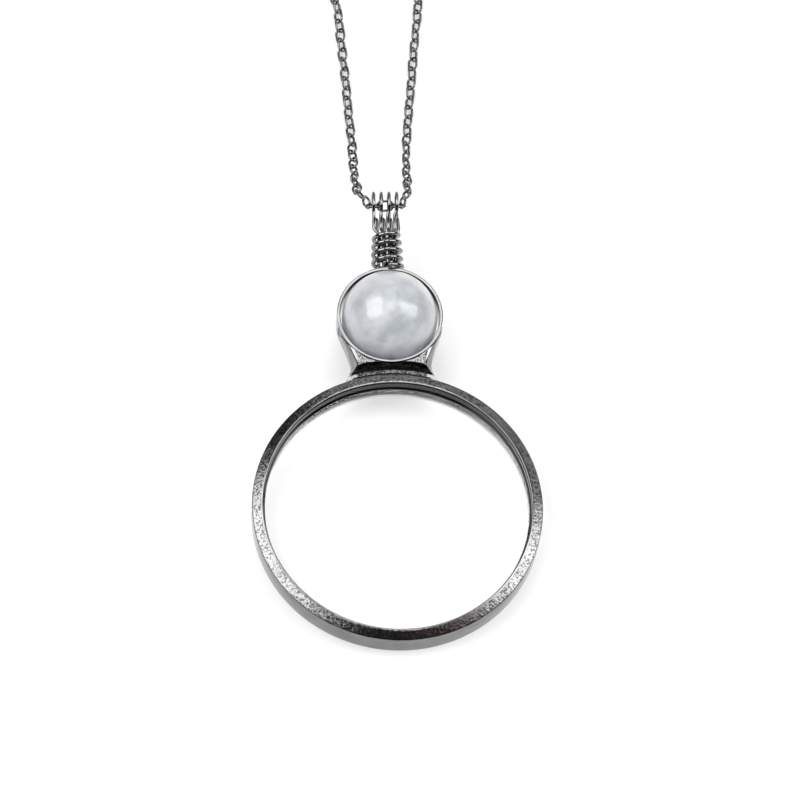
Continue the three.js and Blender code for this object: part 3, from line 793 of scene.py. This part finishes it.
def softened(node, name, body, cell_mm, passes, material, neck_work=False):
    """The solid of a node in even cells of cell_mm, relaxed by this many smoothing passes.

    The neck also gets its filing, and its hollow front is pebbled and, near the ring, darkened with painted
    shade."""
    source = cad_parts[node]
    mesh = source.data.copy()
    mesh.transform(source.matrix_world)
    worker = bpy.data.objects.new(name + "_worker", mesh)
    bpy.context.scene.collection.objects.link(worker)
    remesh = worker.modifiers.new("cells", "REMESH")
    remesh.mode = "VOXEL"
    remesh.voxel_size = cell_mm * MM
    relax = worker.modifiers.new("relax", "SMOOTH")
    relax.factor = 0.5
    relax.iterations = passes
    bpy.context.view_layer.update()
    result = bpy.data.meshes.new_from_object(worker.evaluated_get(bpy.context.evaluated_depsgraph_get()))
    bpy.data.objects.remove(worker)
    points = np.empty(len(result.vertices) * 3)
    result.vertices.foreach_get("co", points)
    faces = [tuple(polygon.vertices) for polygon in result.polygons]
    points = points.reshape(-1, 3)
    skin, black = None, None
    if neck_work:
        flat = filed(off_table(points))
        points = laid(flat)
        skin = valley_skin(flat)
        # Painted shade: the hollow front is painted darker near the ring.
        black = VALLEY_PAINTED_SHADE * skin * (np.hypot(flat[:, 0], flat[:, 1]) < BLACK_WITHIN)
    piece = new_piece(name, points, faces, body, material, pebble=skin, oxide=black)
    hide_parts(node)
    return piece


softened("neck_saddle", "neck", "pendant", 0.10, 6, cast_metal, neck_work=True)
softened("neck_post", "post", "pendant", 0.07, 5, cast_metal)

# %% [markdown]
# ## The wrapped bail
#
# Four wires are bent into loops and their eight ends are gathered round the post. A fifth wire is
# wound round them by hand, so its turns are not quite even and droop in front. The legs are packed
# tightly above the winding and spread again into the loops. Bending stock wire keeps its section
# round, so each one is swept along its own smooth path with its ends rounded over.

# %% Bail loops
BAIL_WIRE = 0.6
LEG_FOOT = 47.0
LEG_OVAL = (1.42, 1.16)
LEG_SPACING = 0.62
LOOP_RADIUS = 2.29
LOOP_SPACING = 1.37
LOOP_HALF_SWEEP = 140
PACKED_Z = 0.45
NARROW_Y, SPREAD_Y = 54.6, 56.8


def bail_path(index):
    """One wire's path in the pendant's frame: up in front of the post, round the loop, down behind."""
    angle = np.radians(150 - 40 * index)
    oval_x = LEG_OVAL[0] * np.cos(angle)
    oval_z = LEG_OVAL[1] * np.sin(angle)
    front_x = (2 * index - 3.5) * LEG_SPACING
    back_x = front_x + LEG_SPACING
    leg = np.array([[1.3 * oval_x, LEG_FOOT, 1.25 * oval_z], [1.15 * oval_x, 50.4, 1.1 * oval_z],
                    [1.1 * oval_x, 53.2, oval_z]])
    sweep = np.linspace(-LOOP_HALF_SWEEP, LOOP_HALF_SWEEP, 11)
    turn = np.radians(sweep + 90)
    loop = np.stack([(index - 1.5) * LOOP_SPACING + 0.15 * sweep / LOOP_HALF_SWEEP,
                     BAIL_Y + LOOP_RADIUS * np.sin(turn), LOOP_RADIUS * np.cos(turn)], axis=1)
    rising = [[front_x, NARROW_Y, PACKED_Z - 0.1], [front_x, SPREAD_Y, PACKED_Z + 0.75]]
    falling = [[back_x, SPREAD_Y, -PACKED_Z - 0.2], [back_x, NARROW_Y, -PACKED_Z]]
    route = np.vstack([leg, rising, loop, falling, leg[::-1] * [1, 1, -1]])
    return smooth_path(route, 12) + [0, 0, BALL_Z]


for index in range(4):
    loop_grid = laid(swept(bail_path(index), BAIL_WIRE / 2, np.array([1.0, 0, 0])))
    loop_points, loop_faces = closed_tube(loop_grid)
    loop_piece = new_piece(f"bail_wire_{index + 1}", loop_points, loop_faces, "pendant", wire_metal)
    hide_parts(f"bail_loop_{index + 1}")

# %% Binding wire
COIL_WIRE = 0.8
COIL_BOTTOM = 46.7
WRAPS = 4.45
WRAP_PITCH = 1.58
WRAP_DROOP = 0.3
WRAP_UNEVEN = 0.05
share = np.linspace(0, 1, 420)
turn = 2 * np.pi * WRAPS * share
wide = 2.6 - 0.4 * share + WRAP_UNEVEN * np.sin(2.3 * turn)
deep = 2.3 - 0.3 * share
climb = COIL_BOTTOM + WRAP_PITCH * WRAPS * share - WRAP_DROOP * np.cos(turn)
binding_path = np.stack([wide * np.sin(turn), climb, BALL_Z + deep * np.cos(turn)], axis=1)
binding_grid = laid(swept(binding_path, COIL_WIRE / 2, np.array([0, 1.0, 0])))
binding_points, binding_faces = closed_tube(binding_grid)
binding = new_piece("binding_wire", binding_points, binding_faces, "pendant", wire_metal)
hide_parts("binding_coil")

# %% Links inside and beside the bail
LINK_HOOK = LINK_BEND - LINK_WIRE - LINK_PLAY
LINK_REACH = LINK_HOOK + LINK_STRAIGHT / 2 + LINK_BEND


def single_link(name, node, middle, along, across):
    """One finely cut link at middle, standing for its node."""
    points, faces = placed_links(middle[None], np.array([along]), np.array([across]), 32, 12)
    link = new_piece(name, points * MM, faces, "chain", chain_metal)
    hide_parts(node)


for index, leans in enumerate((-1.0, 1.0, -1.0)):
    middle = bail_axis + [(index - 1) * LINK_PITCH, 0, 0]
    single_link(f"inner_link_{index + 1}", f"bail_link_{index + 1}", middle, [1.0, 0, 0], [0, 1.0, leans])
for side, sign in (("left", -1), ("right", 1)):
    way = unit([sign * 0.36, 0.8, -0.48])
    corner = bail_axis + [sign * (LINK_PITCH + LINK_STRAIGHT / 2), 0, 0]
    single_link(f"corner_link_{side}", f"turn_link_{side}", corner + way * LINK_REACH, way, [0, 1.0, 1.0])

# %% [markdown]
# ## The clasp and the rings
#
# The clasp is a cast body with a hooked claw, and a lever on a rivet that a fine spring keeps shut. It
# hangs from a jump ring, and the other strand ends in a plain ring for the claw. Both rings are bent
# from wire and keep the hairline where their ends meet. The rivet and the spring are small and plain,
# so their solids are kept and only given a finish.

# %% Clasp
clasp_shell = softened("clasp_body", "clasp_shell", "chain", 0.07, 4, clasp_metal)
lever = softened("clasp_lever", "lever", "clasp_lever", 0.05, 3, clasp_metal)
for node, finish in (("clasp_rivet", clasp_metal), ("clasp_spring", spring_metal)):
    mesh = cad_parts[node].data
    mesh.materials.clear()
    mesh.materials.append(finish)


SEAM = 0.02


def wire_ring(name, node, radius, wire, tilt_degrees, seam_degrees):
    """A ring of round wire at its node's place, with a gap of twice SEAM where its ends meet."""
    gap = SEAM / radius
    angle = np.radians(seam_degrees) + np.linspace(gap, 2 * np.pi - gap, 121)
    tilt = np.radians(tilt_degrees)
    axle = np.array([0, -np.sin(tilt), np.cos(tilt)])
    grid = swept(ring_circle(node, radius, tilt_degrees, angle), wire / 2, axle)
    points, faces = closed_tube(grid * MM)
    piece = new_piece(name, points, faces, "chain", chain_metal)
    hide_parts(node)
    return piece


jump_ring = wire_ring("jump_ring", "clasp_jump_ring", *JUMP_RING, 200)
plain_ring = wire_ring("plain_ring", "end_ring", *PLAIN_RING, 60)

# %% [markdown]
# ## The chain's ends and routes
#
# Each strand is a flexible thing of a fixed length, and its links are not a tube that could be measured
# alone. The pieces on each strand's end are listed, and each route is put into metres.

clasp_pieces = [clasp_shell, lever, "clasp_rivet", "clasp_spring", jump_ring]
for strand, side, on_it in ((strand_left, "left", clasp_pieces), (strand_right, "right", [plain_ring])):
    route = routes[side] * MM

# %% [markdown]
# ## Light
#
# A bright tent would turn polished metal white all over. Here three soft boxes stand round the
# pendant, left, right and behind, with dark gaps between them: the gaps are what draw the black
# streaks in the metal and the thin seams in the ball. A low, dim card behind greys the upper part of
# the ring's front, a small warm one tints its lower right, and a fill from the front lights only what
# scatters light. The table is a pale sheet that is lit a little from below as well, which gives an
# even white ground with hardly a shadow on it.

# %% Table and lights
LIGHT_TARGET = np.array([0, 5, 5]) * MM


def soft_box(name, direction, width, height, glow, colour=(1, 1, 1)):
    """An area light a metre from the pendant that looks at it; glow is its radiance."""
    data = bpy.data.lights.new(name, "AREA")
    data.shape = "RECTANGLE"
    data.size = width
    data.size_y = height
    data.energy = glow * np.pi * width * height
    data.color = colour
    light = bpy.data.objects.new(name, data)
    bpy.context.scene.collection.objects.link(light)
    stand = aimed_matrix(LIGHT_TARGET + unit(direction), LIGHT_TARGET)
    light.matrix_world = mathutils.Matrix(stand.tolist())
    return light


soft_box("left_box", (-0.60, 0.05, 0.80), 0.84, 0.66, 4.2)
soft_box("right_box", (0.66, 0.01, 0.75), 0.47, 0.75, 4.8)
soft_box("top_box", (0.03, 0.33, 0.94), 0.40, 1.00, 3.0)
front_fill = soft_box("front_fill", (-0.05, -0.80, 0.60), 1.2, 0.5, 4.0)
front_fill.visible_glossy = False
soft_box("back_card", (0.35, 0.76, 0.54), 1.5, 0.40, 0.75)
soft_box("warm_card", (0.33, -0.36, 0.87), 0.28, 0.2, 0.3, (1.0, 0.5, 0.4))

TABLE_HALF = 3.0
table_points = [(x * TABLE_HALF, y * TABLE_HALF, 0.0) for x, y in ((-1, -1), (1, -1), (1, 1), (-1, 1))]
table_mesh = bpy.data.meshes.new("table_top")
table_mesh.from_pydata(table_points, [], [[0, 1, 2, 3]])
table = bpy.data.objects.new("table_top", table_mesh)
bpy.context.scene.collection.objects.link(table)
paper, _, paper_shader, _ = fresh_material("white_card")
set_inputs(paper_shader, Base_Color=(0.55, 0.55, 0.55, 1), Roughness=0.85)
set_inputs(paper_shader, Emission_Color=(1, 1, 1, 1), Emission_Strength=0.36)
table_mesh.materials.append(paper)

world = bpy.data.worlds.new("studio")
world.use_nodes = True
set_inputs(world.node_tree.nodes["Background"], Color=(0.05, 0.05, 0.05, 1), Strength=1.0)
bpy.context.scene.world = world
bpy.context.scene.view_settings.view_transform = "Standard"
print("lights:", [light.name for light in bpy.data.lights])
